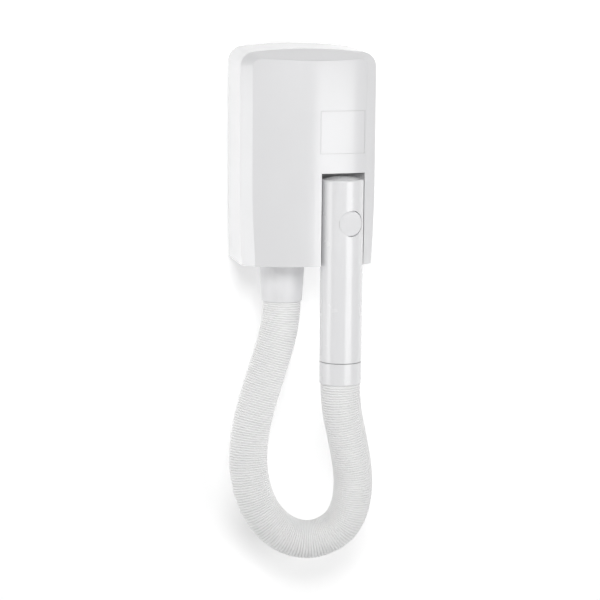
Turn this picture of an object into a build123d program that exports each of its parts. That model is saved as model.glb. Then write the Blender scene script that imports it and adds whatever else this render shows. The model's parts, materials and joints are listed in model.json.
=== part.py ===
"""Wall-mounted hair dryer with a corrugated hose and a tube-shaped handset.

Millimetres. X points right, Y into the wall and Z up. The origin is the centre of the wall
screw pattern, on the back face of the wall plate, so everything stands at negative Y.
"Depth" below always means distance from the wall, that is -Y.
"""

import os
from math import cos, hypot, pi, radians, sin, sqrt, tan

from build123d import *

os.makedirs("parts", exist_ok=True)

# ---------------------------------------------------------------- driving dimensions
# Front cover
COVER_WALL = 2.5
COVER_FOOT = -116.5  # flat underside
COVER_KNEE = -20.0  # the sides start to tuck in below this height
ARCH_RADIUS = 500.0  # shallow arch of the top
BACK_HALF_WIDTH = 75.9
BACK_TOP = 124.3
SHOULDER_DEPTH = 84.0  # where the flank turns into the bevel
SHOULDER_HALF_WIDTH = 75.3
SHOULDER_TOP = 120.0
SIDE_TUCK = 3.0  # how much narrower the shoulder is at the foot
NOSE_DEPTH = 108.0
NOSE_HALF_WIDTH = 48.3
NOSE_TOP = 107.6
CROWN_RADIUS = 158.0  # the front face is a slice of a wide upright cylinder
UPPER_CORNER = 16.0
BEVEL_DEPTH = NOSE_DEPTH - SHOULDER_DEPTH

# Handset and its bay
HANDSET_X = 36.2
HANDSET_Y = -97.0
HANDSET_RADIUS = 23.3
HANDSET_WALL = 2.5
HANDSET_TOP = -21.0
HANDSET_FOOT = -222.5
BAY_RADIUS = 25.1
BAY_TOP = -14.5
CUFF_FOOT = -247.5

# Push button on the handset
BUTTON_Z = -68.4
BUTTON_TURN = 18.5  # degrees from straight ahead, towards +X
BUTTON_RADIUS = 14.0
BUTTON_FACE = 19.2  # from the handset's axis to the button's flat face
BUTTON_WALL = 1.6
BUTTON_FLANGE = 1.5  # how far the retaining flange stands out, and its thickness
BUTTON_TRAVEL = 2.5
GUIDE_WALL = 1.8

# Blank plate over the unused socket opening
BLANK_CENTRE = (35.0, 30.15)
BLANK_SIZE = (51.2, 46.5)
BLANK_THICKNESS = 1.4
BLANK_GROOVE = 0.22

# Air path
DUCT_X = -22.0
DUCT_DEPTH = 50.0
SLEEVE_RADIUS = 23.0
SLEEVE_BORE = 21.6
SLEEVE_TOP = -8.0
SLEEVE_FOOT = -108.0
COLLAR_RADIUS = 25.2
COLLAR_TIP_RADIUS = 22.9
COLLAR_FOOT = -161.0

# Hose
HOSE_DIAMETER = 43.4
HOSE_BORE = 39.6

# Blower and motor
BLOWER_X = 10.0
BLOWER_Z = 52.0
BLOWER_BACK = 34.0  # depth of the scroll's back face
BLOWER_FRONT = 66.0
BLOWER_WALL = 2.0
SCROLL_START = 40.0  # spiral radius at the cut-off
SCROLL_END = 52.0  # spiral radius where the outlet channel starts
CUT_OFF_ANGLE = -130.0
CHANNEL_FOOT = 8.0
EAR_REACH = 6.5  # from the spiral out to the fixing screws
EAR_THICKNESS = 4.0
MOTOR_RADIUS = 15.0
MOTOR_BACK = 14.0
MOTOR_FRONT = 46.0
SHAFT_RADIUS = 1.6
SHAFT_CLEARANCE = 0.05
IMPELLER_RADIUS = 37.0
BLADE_COUNT = 24

# Wall plate
PLATE_THICKNESS = 3.0
PLATE_GAP = 0.5
WALL_SCREW_SPACING = (120.0, 190.0)
WALL_SCREW_RADIUS = 2.6
ENTRY_AT = (-58.0, 30.0)
ENTRY_RADIUS = 7.0
CABLE_RADIUS = 4.2

# Control board
BOARD_CENTRE = (37.0, -54.0)
BOARD_SIZE = (58.0, 58.0)
BOARD_DEPTH = 10.0
BOARD_THICKNESS = 1.6
BOARD_FRONT = BOARD_DEPTH + BOARD_THICKNESS

# Small screws
SCREW_RADIUS = 1.5
SCREW_HEAD_RADIUS = 2.8
SCREW_HEAD = 1.8
SCREW_GAP = 0.05


# ---------------------------------------------------------------- shared forms
def wall_plane(depth):
    """A sketch plane that faces the front, at a distance from the wall."""
    return Plane.XZ.offset(depth)


def level(height):
    """A horizontal sketch plane."""
    return Plane.XY.offset(height)


def front_outline(depth, half_width, tuck, top, corner, foot):
    """Front outline of the housing: arched top, round upper corners, sides tucked in below."""
    spring = top - half_width**2 / (2 * ARCH_RADIUS)
    foot_half = half_width - tuck
    with BuildSketch(wall_plane(depth)) as outline:
        with BuildLine():
            Line((-foot_half, foot), (foot_half, foot))
            TangentArc((half_width, COVER_KNEE), (foot_half, foot), tangent=(0, -1))
            Line((half_width, COVER_KNEE), (half_width, spring))
            ThreePointArc((half_width, spring), (0, top), (-half_width, spring))
            Line((-half_width, spring), (-half_width, COVER_KNEE))
            TangentArc((-half_width, COVER_KNEE), (-foot_half, foot), tangent=(0, -1))
        make_face()
        fillet(outline.vertices().group_by(Axis.Y)[-1], corner)
    return outline.sketch


def housing_form(inset, back_depth):
    """The solid form of the housing, moved inwards by inset on every side but the back."""
    foot = COVER_FOOT + inset
    side_run = SHOULDER_HALF_WIDTH - NOSE_HALF_WIDTH
    top_run = SHOULDER_TOP - NOSE_TOP
    side_inset = inset * hypot(side_run, BEVEL_DEPTH) / BEVEL_DEPTH
    top_inset = inset * hypot(top_run, BEVEL_DEPTH) / BEVEL_DEPTH
    back = front_outline(
        back_depth, BACK_HALF_WIDTH - inset, 1.5, BACK_TOP - inset, UPPER_CORNER + 1 - inset, foot
    )
    shoulder = front_outline(
        SHOULDER_DEPTH - 0.4 * inset,
        SHOULDER_HALF_WIDTH - inset,
        SIDE_TUCK,
        SHOULDER_TOP - inset,
        UPPER_CORNER - inset,
        foot,
    )
    nose = front_outline(
        NOSE_DEPTH, NOSE_HALF_WIDTH - side_inset, 1.0, NOSE_TOP - top_inset, 2.0, foot
    )
    with BuildPart() as form:
        loft(sections=[back, shoulder, nose], ruled=True)
        with BuildSketch(level(COVER_FOOT - 10)):
            with Locations((0, CROWN_RADIUS - NOSE_DEPTH)):
                Circle(CROWN_RADIUS - inset)
        extrude(amount=BACK_TOP - COVER_FOOT + 20, mode=Mode.INTERSECT)
    return form.part


def bay_form(grow):
    """The handset's bay: an upright half-round trough, open at the front and the foot."""
    low = COVER_FOOT - 20
    with BuildPart() as bay:
        with BuildSketch(level(low)):
            with Locations((HANDSET_X, HANDSET_Y)):
                Circle(BAY_RADIUS + grow)
            with Locations((HANDSET_X, HANDSET_Y - 20)):
                Rectangle(2 * (BAY_RADIUS + grow), 40)
        extrude(amount=BAY_TOP + grow - low)
    return bay.part


def inner_space():
    """The room inside the cover: the inset housing less the thickened bay."""
    with BuildPart() as space:
        add(housing_form(COVER_WALL, -2))
        add(bay_form(COVER_WALL), mode=Mode.SUBTRACT)
    return space.part


def face_slab(margin, outer_skin, inner_skin):
    """A slab of the curved front behind the blank plate, between two skins under the crown."""
    with BuildPart() as slab:
        with BuildSketch(level(0)):
            with Locations((0, CROWN_RADIUS - NOSE_DEPTH)):
                Circle(CROWN_RADIUS - outer_skin)
                Circle(CROWN_RADIUS - inner_skin, mode=Mode.SUBTRACT)
        extrude(amount=SHOULDER_TOP)
        with BuildSketch(wall_plane(SHOULDER_DEPTH)):
            with Locations(BLANK_CENTRE):
                Rectangle(BLANK_SIZE[0] - 2 * margin, BLANK_SIZE[1] - 2 * margin)
        extrude(amount=60, mode=Mode.INTERSECT)
    return slab.part


def disc(plane, places, radius, height):
    """Round pillars of one size, standing on a plane."""
    with BuildPart() as pillars:
        with BuildSketch(plane):
            with Locations(*places):
                Circle(radius)
        extrude(amount=height)
    return pillars.part


def screw_set(plane, places, length):
    """Pan-head screws: heads stand on the plane, shanks go down through it."""
    with BuildPart() as screws:
        add(disc(plane, places, SCREW_HEAD_RADIUS, SCREW_HEAD))
        fillet(screws.edges().group_by(SortBy.LENGTH)[-1].filter_by(GeomType.CIRCLE), 0.4)
        add(disc(plane, places, SCREW_RADIUS, -length))
    return screws.part


def scroll_point(angle, inset):
    """A point of the blower's spiral, seen from the front, at an angle in degrees from +X."""
    share = (angle - CUT_OFF_ANGLE) / (180.0 - CUT_OFF_ANGLE)
    reach = SCROLL_START + (SCROLL_END - SCROLL_START) * share - inset
    return (BLOWER_X + reach * cos(radians(angle)), BLOWER_Z + reach * sin(radians(angle)))


def scroll_outline(depth, inset):
    """Snail outline of the blower with its outlet channel, which points down on the left."""
    steps = 10
    step_angle = (180.0 - CUT_OFF_ANGLE) / steps
    spiral = [scroll_point(CUT_OFF_ANGLE + step * step_angle, inset) for step in range(steps + 1)]
    outer_x = BLOWER_X - SCROLL_END + inset
    inner_x = 2 * DUCT_X - outer_x
    with BuildSketch(wall_plane(depth)) as outline:
        with BuildLine():
            Spline(*spiral, tangents=[(0.77, -0.64), (0, -1)])
            Line((outer_x, BLOWER_Z), (outer_x, CHANNEL_FOOT))
            Line((outer_x, CHANNEL_FOOT), (inner_x, CHANNEL_FOOT))
            Line((inner_x, CHANNEL_FOOT), spiral[0])
        make_face()
    return outline.sketch


def compression_spring(base, coil_radius, wire_radius, length, turns):
    """A spring of round wire that stands on a plane."""
    rise = Helix(pitch=length / turns, height=length, radius=coil_radius)
    path = base.location * rise
    with BuildPart() as spring:
        with BuildSketch(Plane(origin=path @ 0, z_dir=path % 0)):
            Circle(wire_radius)
        sweep(path=path, is_frenet=True)
    return spring.part


button_axis = Vector(sin(radians(BUTTON_TURN)), -cos(radians(BUTTON_TURN)), 0)
button_plane = Plane(origin=(HANDSET_X, HANDSET_Y, BUTTON_Z), x_dir=(0, 0, 1), z_dir=button_axis)


# ---------------------------------------------------------------- housing
blank_pocket = face_slab(0, -1, BLANK_THICKNESS)
slot_pitch = 6.4
slot_centre = (35.0, -34.0)
collar_hole = COLLAR_RADIUS + 0.3
bay_back = -HANDSET_Y - BAY_RADIUS - COVER_WALL  # depth of the bay wall's inner face
plunger_z = -60.0
plunger_radius = 2.5
cover_screw_places = [(-66.0, -14.0), (66.0, -14.0)]

with BuildPart() as front_cover:
    add(housing_form(0, 0))
    shoulder_edges = front_cover.edges().filter_by_position(
        Axis.Y, -SHOULDER_DEPTH - 0.05, -SHOULDER_DEPTH + 0.05
    )
    fillet(shoulder_edges.filter_by_position(Axis.Z, COVER_FOOT + 0.5, BACK_TOP), 1.5)
    crown = front_cover.faces().filter_by(GeomType.CYLINDER).sort_by(Axis.Y)[0]
    fillet(crown.edges().filter_by_position(Axis.Z, COVER_FOOT + 0.5, BACK_TOP), 1.2)
    add(bay_form(0), mode=Mode.SUBTRACT)
    add(inner_space(), mode=Mode.SUBTRACT)
    add(blank_pocket, mode=Mode.SUBTRACT)
    with BuildSketch(level(COVER_FOOT - 1)):
        with Locations((DUCT_X, -DUCT_DEPTH)):
            Circle(collar_hole)
        with Locations(*cover_screw_places):
            Circle(SCREW_RADIUS + 0.2)
        with Locations(slot_centre):
            with GridLocations(slot_pitch, 1, 7, 1):
                SlotOverall(40, 3.2, rotation=90)
    extrude(amount=COVER_WALL + 2, mode=Mode.SUBTRACT)
    with BuildSketch(wall_plane(bay_back - 1)):
        with Locations((HANDSET_X, plunger_z)):
            Circle(plunger_radius + 0.3)
    extrude(amount=COVER_WALL + 2, mode=Mode.SUBTRACT)
front_cover.part.label = "front_cover"
export_step(front_cover.part, "parts/front_cover.step")

with BuildPart() as blanking_plate:
    add(face_slab(BLANK_GROOVE, 0, BLANK_THICKNESS - 0.05))
    fillet(blanking_plate.edges().filter_by(Axis.Y), 1.0)
blanking_plate.part.label = "blanking_plate"
export_step(blanking_plate.part, "parts/blanking_plate.step")

plate_inset = COVER_WALL + PLATE_GAP
ear_places = [scroll_point(angle, -EAR_REACH) for angle in (60.0, 140.0, -30.0)]
board_holes = [
    (BOARD_CENTRE[0] + side * 25.0, BOARD_CENTRE[1] + end * 25.0)
    for side in (-1, 1)
    for end in (-1, 1)
]
wall_holes = [
    (side * WALL_SCREW_SPACING[0] / 2, end * WALL_SCREW_SPACING[1] / 2)
    for side in (-1, 1)
    for end in (-1, 1)
]
clamp_places = [(ENTRY_AT[0] - 8.0, 8.0), (ENTRY_AT[0] + 8.0, 8.0)]
clamp_post = 7.0
lug_size = 10.0
lug_height = 10.0

plate_outline = front_outline(
    0,
    BACK_HALF_WIDTH - plate_inset,
    1.5,
    BACK_TOP - plate_inset,
    UPPER_CORNER + 1 - plate_inset,
    COVER_FOOT + plate_inset,
)
with BuildPart() as wall_plate:
    extrude(plate_outline, amount=PLATE_THICKNESS)
    add(disc(wall_plane(PLATE_THICKNESS), ear_places, 4.5, BLOWER_BACK - PLATE_THICKNESS))
    add(disc(wall_plane(PLATE_THICKNESS), board_holes, 3.5, BOARD_DEPTH - PLATE_THICKNESS))
    add(disc(wall_plane(PLATE_THICKNESS), clamp_places, 3.5, clamp_post - PLATE_THICKNESS))
    with BuildSketch(level(COVER_FOOT + plate_inset)):
        with Locations(*[(x, -13.0) for x, _ in cover_screw_places]):
            Rectangle(lug_size, 2 * lug_size)
    extrude(amount=lug_height)
    screw_bore = SCREW_RADIUS + SCREW_GAP
    add(disc(wall_plane(BLOWER_BACK - 12), ear_places, screw_bore, 13), mode=Mode.SUBTRACT)
    add(disc(wall_plane(BOARD_DEPTH - 6), board_holes, screw_bore, 7), mode=Mode.SUBTRACT)
    add(disc(wall_plane(1.0), clamp_places, screw_bore, clamp_post), mode=Mode.SUBTRACT)
    add(disc(level(COVER_FOOT), cover_screw_places, screw_bore, 11), mode=Mode.SUBTRACT)
    add(disc(wall_plane(-1), wall_holes, WALL_SCREW_RADIUS, 5), mode=Mode.SUBTRACT)
    add(disc(wall_plane(-1), [ENTRY_AT], ENTRY_RADIUS, 5), mode=Mode.SUBTRACT)
wall_plate.part.label = "wall_plate"
export_step(wall_plate.part, "parts/wall_plate.step")

with BuildPart() as cover_screws:
    under_foot = Plane(origin=(0, 0, COVER_FOOT), x_dir=(1, 0, 0), z_dir=(0, 0, -1))
    mirrored_places = [(x, -y) for x, y in cover_screw_places]
    add(screw_set(under_foot, mirrored_places, 10.5))
cover_screws.part.label = "cover_screws"
export_step(cover_screws.part, "parts/cover_screws.step")


# ---------------------------------------------------------------- mains entry
with BuildPart() as cable_grommet:
    add(disc(wall_plane(0), [ENTRY_AT], ENTRY_RADIUS - 0.05, 6))
    add(disc(wall_plane(PLATE_THICKNESS), [ENTRY_AT], ENTRY_RADIUS + 2.5, 1.6))
    fillet(cable_grommet.edges().sort_by(Axis.Y)[0], 1.0)
    add(disc(wall_plane(-1), [ENTRY_AT], CABLE_RADIUS, 8), mode=Mode.SUBTRACT)
cable_grommet.part.label = "cable_grommet"
export_step(cable_grommet.part, "parts/cable_grommet.step")

with BuildPart() as cable_clamp:
    with BuildSketch(wall_plane(clamp_post)):
        with Locations((ENTRY_AT[0], 8.0)):
            SlotOverall(23, 7)
        with Locations(*clamp_places):
            Circle(SCREW_RADIUS + 0.1, mode=Mode.SUBTRACT)
    extrude(amount=2.5)
    fillet(cable_clamp.edges().group_by(Axis.Y)[0].filter_by(GeomType.LINE), 0.6)
cable_clamp.part.label = "cable_clamp"
export_step(cable_clamp.part, "parts/cable_clamp.step")

with BuildPart() as clamp_screws:
    add(screw_set(wall_plane(clamp_post + 2.5), clamp_places, 8.0))
clamp_screws.part.label = "clamp_screws"
export_step(clamp_screws.part, "parts/clamp_screws.step")

block_centre = (ENTRY_AT[0], -22.0)
with BuildPart() as terminal_block:
    with BuildSketch(wall_plane(PLATE_THICKNESS)):
        with Locations(block_centre):
            Rectangle(18, 28)
    extrude(amount=13)
    fillet(terminal_block.edges().filter_by(Axis.Y), 1.0)
    with BuildSketch(wall_plane(PLATE_THICKNESS + 13)):
        with Locations(block_centre):
            with GridLocations(8, 9, 2, 3):
                Circle(2.6)
    extrude(amount=-5, mode=Mode.SUBTRACT)
terminal_block.part.label = "terminal_block"
export_step(terminal_block.part, "parts/terminal_block.step")

with BuildPart() as terminal_screws:
    with BuildSketch(wall_plane(PLATE_THICKNESS + 8)):
        with Locations(block_centre):
            with GridLocations(8, 9, 2, 3):
                Circle(2.3)
                Rectangle(3.8, 0.7, mode=Mode.SUBTRACT)
    extrude(amount=1.5)
    with BuildSketch(wall_plane(PLATE_THICKNESS + 8)):
        with Locations(block_centre):
            with GridLocations(8, 9, 2, 3):
                Circle(2.3)
    extrude(amount=0.8)
terminal_screws.part.label = "terminal_screws"
export_step(terminal_screws.part, "parts/terminal_screws.step")


# ---------------------------------------------------------------- control board
with BuildPart() as circuit_board:
    with BuildSketch(wall_plane(BOARD_DEPTH)):
        with Locations(BOARD_CENTRE):
            RectangleRounded(*BOARD_SIZE, 2)
        with Locations(*board_holes):
            Circle(SCREW_RADIUS + 0.1, mode=Mode.SUBTRACT)
    extrude(amount=BOARD_THICKNESS)
circuit_board.part.label = "circuit_board"
export_step(circuit_board.part, "parts/circuit_board.step")

with BuildPart() as board_screws:
    add(screw_set(wall_plane(BOARD_FRONT), board_holes, 7.0))
board_screws.part.label = "board_screws"
export_step(board_screws.part, "parts/board_screws.step")

with BuildPart() as relay:
    with BuildSketch(wall_plane(BOARD_FRONT)):
        with Locations((24.0, -52.0)):
            Rectangle(12, 19)
    extrude(amount=15.5)
    fillet(relay.edges().filter_by(Axis.Y), 0.8)
    fillet(relay.edges().group_by(Axis.Y)[0], 0.5)
relay.part.label = "relay"
export_step(relay.part, "parts/relay.step")

with BuildPart() as smoothing_capacitor:
    add(disc(wall_plane(BOARD_FRONT), [(40.0, -40.0)], 6.3, 20))
    fillet(smoothing_capacitor.edges().group_by(Axis.Y)[0], 1.0)
    with BuildSketch(wall_plane(BOARD_FRONT + 20)):
        with Locations((40.0, -40.0)):
            Rectangle(9, 0.6)
            Rectangle(0.6, 9)
    extrude(amount=-0.4, mode=Mode.SUBTRACT)
smoothing_capacitor.part.label = "smoothing_capacitor"
export_step(smoothing_capacitor.part, "parts/smoothing_capacitor.step")

with BuildPart() as suppression_capacitor:
    with BuildSketch(wall_plane(BOARD_FRONT)):
        with Locations((40.0, -70.0)):
            Rectangle(18, 8)
    extrude(amount=13)
    fillet(suppression_capacitor.edges().filter_by(Axis.Y), 0.8)
suppression_capacitor.part.label = "suppression_capacitor"
export_step(suppression_capacitor.part, "parts/suppression_capacitor.step")

with BuildPart() as heat_sink:
    with BuildSketch(wall_plane(BOARD_FRONT)):
        with Locations((56.0, -52.0)):
            Rectangle(2.5, 30)
        with Locations((59.0, -52.0)):
            with GridLocations(1, 6.9, 1, 5):
                Rectangle(6, 1.6)
    extrude(amount=22)
heat_sink.part.label = "heat_sink"
export_step(heat_sink.part, "parts/heat_sink.step")

with BuildPart() as triac:
    with BuildSketch(wall_plane(BOARD_FRONT + 5)):
        with Locations((52.45, -52.0)):
            Rectangle(4.4, 10)
    extrude(amount=9)
    with BuildSketch(wall_plane(BOARD_FRONT + 14)):
        with Locations((54.05, -52.0)):
            Rectangle(1.2, 10)
    extrude(amount=6)
    with BuildSketch(wall_plane(BOARD_FRONT)):
        with Locations((52.45, -52.0)):
            with GridLocations(1, 2.54, 1, 3):
                Rectangle(0.6, 0.8)
    extrude(amount=5)
triac.part.label = "triac"
export_step(triac.part, "parts/triac.step")

with BuildPart() as board_fuse:
    fuse_depth = BOARD_FRONT + 3.2
    for end in (0, 15):
        add(disc(level(-65.0 + end), [(14.0, -fuse_depth)], 2.6, 5))
    add(disc(level(-61.0), [(14.0, -fuse_depth)], 2.3, 12))
board_fuse.part.label = "board_fuse"
export_step(board_fuse.part, "parts/board_fuse.step")

with BuildPart() as board_connector:
    with BuildSketch(wall_plane(BOARD_FRONT)):
        with Locations((22.0, -74.0)):
            Rectangle(12, 6)
    extrude(amount=9)
    with BuildSketch(wall_plane(BOARD_FRONT + 9)):
        with Locations((22.0, -74.0)):
            with GridLocations(3.8, 1, 3, 1):
                Rectangle(2.4, 3.4)
    extrude(amount=-5, mode=Mode.SUBTRACT)
board_connector.part.label = "board_connector"
export_step(board_connector.part, "parts/board_connector.step")


# ---------------------------------------------------------------- blower
inlet_radius = 24.0
with BuildPart() as blower_housing:
    extrude(scroll_outline(BLOWER_BACK, 0), amount=BLOWER_FRONT - BLOWER_BACK - BLOWER_WALL)
    add(disc(wall_plane(BLOWER_BACK), ear_places, EAR_REACH + 2.5, EAR_THICKNESS))
    inner_depth = BLOWER_FRONT - BLOWER_BACK
    extrude(
        scroll_outline(BLOWER_BACK + BLOWER_WALL, BLOWER_WALL),
        amount=inner_depth,
        mode=Mode.SUBTRACT,
    )
    with BuildSketch(level(CHANNEL_FOOT - 1)):
        with Locations((DUCT_X, -(BLOWER_BACK + BLOWER_FRONT) / 2)):
            Rectangle(40 - 2 * BLOWER_WALL, 28)
    extrude(amount=4, mode=Mode.SUBTRACT)
    add(disc(wall_plane(BLOWER_BACK - 1), ear_places, SCREW_RADIUS + 0.1, 6), mode=Mode.SUBTRACT)
    motor_seat = disc(wall_plane(BLOWER_BACK - 1), [(BLOWER_X, BLOWER_Z)], MOTOR_RADIUS + 0.2, 4)
    add(motor_seat, mode=Mode.SUBTRACT)
blower_housing.part.label = "blower_housing"
export_step(blower_housing.part, "parts/blower_housing.step")

with BuildPart() as blower_lid:
    extrude(scroll_outline(BLOWER_FRONT - BLOWER_WALL, 0), amount=BLOWER_WALL)
    add(disc(wall_plane(BLOWER_FRONT), [(BLOWER_X, BLOWER_Z)], inlet_radius + 3, 3))
    inlet = disc(wall_plane(BLOWER_FRONT - 3), [(BLOWER_X, BLOWER_Z)], inlet_radius, 8)
    add(inlet, mode=Mode.SUBTRACT)
    mouth = blower_lid.edges().filter_by(GeomType.CIRCLE).group_by(Axis.Y)[0]
    fillet(mouth.sort_by(SortBy.RADIUS)[0], 2.0)
blower_lid.part.label = "blower_lid"
export_step(blower_lid.part, "parts/blower_lid.step")

with BuildPart() as blower_screws:
    add(screw_set(wall_plane(BLOWER_BACK + EAR_THICKNESS), ear_places, 14.0))
blower_screws.part.label = "blower_screws"
export_step(blower_screws.part, "parts/blower_screws.step")

mount_places = [(BLOWER_X - 19.0, BLOWER_Z), (BLOWER_X + 19.0, BLOWER_Z)]
with BuildPart() as motor_mount:
    with BuildSketch(wall_plane(BLOWER_BACK - 3)):
        with Locations((BLOWER_X, BLOWER_Z)):
            Circle(MOTOR_RADIUS + 3)
            SlotOverall(47, 9)
            Circle(MOTOR_RADIUS + 0.1, mode=Mode.SUBTRACT)
        with Locations(*mount_places):
            Circle(SCREW_RADIUS + 0.1, mode=Mode.SUBTRACT)
    extrude(amount=3)
motor_mount.part.label = "motor_mount"
export_step(motor_mount.part, "parts/motor_mount.step")


# ---------------------------------------------------------------- motor
motor_place = [(BLOWER_X, BLOWER_Z)]
can_wall = 1.0
bearing_radius = 3.2
bearing_length = 3.0
with BuildPart() as motor_can:
    add(disc(wall_plane(MOTOR_BACK), motor_place, MOTOR_RADIUS, MOTOR_FRONT - MOTOR_BACK))
    fillet(motor_can.edges().group_by(Axis.Y)[0], 1.5)
    bore_length = MOTOR_FRONT - MOTOR_BACK - can_wall + 1
    bore = disc(wall_plane(MOTOR_BACK - 1), motor_place, MOTOR_RADIUS - can_wall, bore_length)
    add(bore, mode=Mode.SUBTRACT)
    seat = disc(wall_plane(MOTOR_FRONT - 3), motor_place, bearing_radius, 5)
    add(seat, mode=Mode.SUBTRACT)
motor_can.part.label = "motor_can"
export_step(motor_can.part, "parts/motor_can.step")

with BuildPart() as motor_end_cap:
    add(disc(wall_plane(MOTOR_BACK - 2.5), motor_place, MOTOR_RADIUS - 0.2, 2.5))
    add(disc(wall_plane(MOTOR_BACK), motor_place, MOTOR_RADIUS - can_wall - 0.05, 2.0))
    cap_bore = disc(wall_plane(MOTOR_BACK - 4), motor_place, bearing_radius, 8)
    add(cap_bore, mode=Mode.SUBTRACT)
motor_end_cap.part.label = "motor_end_cap"
export_step(motor_end_cap.part, "parts/motor_end_cap.step")

with BuildPart() as motor_bearings:
    for start in (MOTOR_BACK - 1.5, MOTOR_FRONT - bearing_length):
        add(disc(wall_plane(start), motor_place, bearing_radius - 0.02, bearing_length))
    shaft_way = disc(wall_plane(0), motor_place, SHAFT_RADIUS + SHAFT_CLEARANCE, MOTOR_FRONT + 5)
    add(shaft_way, mode=Mode.SUBTRACT)
motor_bearings.part.label = "motor_bearings"
export_step(motor_bearings.part, "parts/motor_bearings.step")

with BuildPart() as motor_magnets:
    with BuildSketch(wall_plane(MOTOR_BACK + 8)):
        with Locations(motor_place[0]):
            Circle(MOTOR_RADIUS - can_wall - 0.05)
            Circle(MOTOR_RADIUS - can_wall - 2.8, mode=Mode.SUBTRACT)
            Rectangle(9, 40, mode=Mode.SUBTRACT)
    extrude(amount=20)
motor_magnets.part.label = "motor_magnets"
export_step(motor_magnets.part, "parts/motor_magnets.step")

with BuildPart() as motor_brushes:
    with BuildSketch(wall_plane(MOTOR_BACK + 2.4)):
        with Locations((BLOWER_X, BLOWER_Z + 7.2), (BLOWER_X, BLOWER_Z - 7.2)):
            Rectangle(3.2, 5.6)
    extrude(amount=3.0)
motor_brushes.part.label = "motor_brushes"
export_step(motor_brushes.part, "parts/motor_brushes.step")

shaft_start = MOTOR_BACK - 2.0
shaft_end = 62.0
with BuildPart() as motor_shaft:
    add(disc(wall_plane(shaft_start), motor_place, SHAFT_RADIUS, shaft_end - shaft_start))
    chamfer(motor_shaft.edges().filter_by(GeomType.CIRCLE), 0.3)
motor_shaft.part.label = "motor_shaft"
export_step(motor_shaft.part, "parts/motor_shaft.step")

pole_count = 5
with BuildPart() as armature:
    with BuildSketch(wall_plane(MOTOR_BACK + 9)):
        with Locations(motor_place[0]):
            Circle(10.4)
            Circle(SHAFT_RADIUS, mode=Mode.SUBTRACT)
            with PolarLocations(9.0, pole_count):
                Rectangle(6, 1.2, mode=Mode.SUBTRACT)
            with PolarLocations(7.0, pole_count):
                Circle(1.9, mode=Mode.SUBTRACT)
    extrude(amount=18)
armature.part.label = "armature"
export_step(armature.part, "parts/armature.step")

with BuildPart() as armature_windings:
    with BuildSketch(wall_plane(MOTOR_BACK + 8)):
        with Locations(motor_place[0]):
            with PolarLocations(7.0, pole_count):
                Circle(1.7)
    extrude(amount=20)
armature_windings.part.label = "armature_windings"
export_step(armature_windings.part, "parts/armature_windings.step")

with BuildPart() as commutator:
    with BuildSketch(wall_plane(MOTOR_BACK + 2.4)):
        with Locations(motor_place[0]):
            Circle(4.2)
            with PolarLocations(4.0, pole_count):
                Rectangle(1.2, 0.5, mode=Mode.SUBTRACT)
            Circle(SHAFT_RADIUS, mode=Mode.SUBTRACT)
    extrude(amount=4.5)
commutator.part.label = "commutator"
export_step(commutator.part, "parts/commutator.step")

impeller_back = BLOWER_BACK + BLOWER_WALL + 0.6
hub_front = MOTOR_FRONT + 4.0
blade_front = 60.0
with BuildPart() as impeller:
    add(disc(wall_plane(impeller_back), motor_place, IMPELLER_RADIUS, 1.5))
    add(disc(wall_plane(impeller_back), motor_place, MOTOR_RADIUS + 3.2, hub_front - impeller_back))
    fillet(impeller.edges().group_by(Axis.Y)[0], 2.0)
    well_depth = hub_front - 2.0 - impeller_back + 1
    well = disc(wall_plane(impeller_back - 1), motor_place, MOTOR_RADIUS + 1.5, well_depth)
    add(well, mode=Mode.SUBTRACT)
    add(disc(wall_plane(hub_front - 2.0), motor_place, 4.5, 9.0))
    with BuildSketch(wall_plane(impeller_back + 1)):
        with Locations(motor_place[0]):
            with PolarLocations(IMPELLER_RADIUS - 5, BLADE_COUNT):
                Rectangle(9.0, 1.2, rotation=-38)
    extrude(amount=blade_front - impeller_back - 1)
    with BuildSketch(wall_plane(blade_front - 1.5)):
        with Locations(motor_place[0]):
            Circle(IMPELLER_RADIUS)
            Circle(IMPELLER_RADIUS - 4, mode=Mode.SUBTRACT)
    extrude(amount=1.5)
    shaft_bore = disc(wall_plane(MOTOR_BACK), motor_place, SHAFT_RADIUS, 60)
    add(shaft_bore, mode=Mode.SUBTRACT)
impeller.part.label = "impeller"
export_step(impeller.part, "parts/impeller.step")

nut_start = hub_front - 2.0 + 9.0
with BuildPart() as impeller_nut:
    with BuildSketch(wall_plane(nut_start)):
        with Locations(motor_place[0]):
            RegularPolygon(3.6, 6)
            Circle(SHAFT_RADIUS, mode=Mode.SUBTRACT)
    extrude(amount=2.6)
impeller_nut.part.label = "impeller_nut"
export_step(impeller_nut.part, "parts/impeller_nut.step")


# ---------------------------------------------------------------- heater and outlet
duct_place = [(DUCT_X, -DUCT_DEPTH)]
adapter_plate = 2.5
spigot_radius = SLEEVE_BORE - 0.2
with BuildPart() as duct_adapter:
    with BuildSketch(level(CHANNEL_FOOT - adapter_plate)):
        with Locations(duct_place[0]):
            Rectangle(46, 38)
    extrude(amount=adapter_plate)
    fillet(duct_adapter.edges().filter_by(Axis.Z), 3)
    add(disc(level(SLEEVE_TOP - 6), duct_place, spigot_radius, CHANNEL_FOOT - SLEEVE_TOP + 3.5))
    with BuildSketch(level(CHANNEL_FOOT)):
        with Locations(duct_place[0]):
            Rectangle(36, 28)
            Circle(spigot_radius - 2, mode=Mode.INTERSECT)
    extrude(amount=-30, mode=Mode.SUBTRACT)
duct_adapter.part.label = "duct_adapter"
export_step(duct_adapter.part, "parts/duct_adapter.step")

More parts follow.
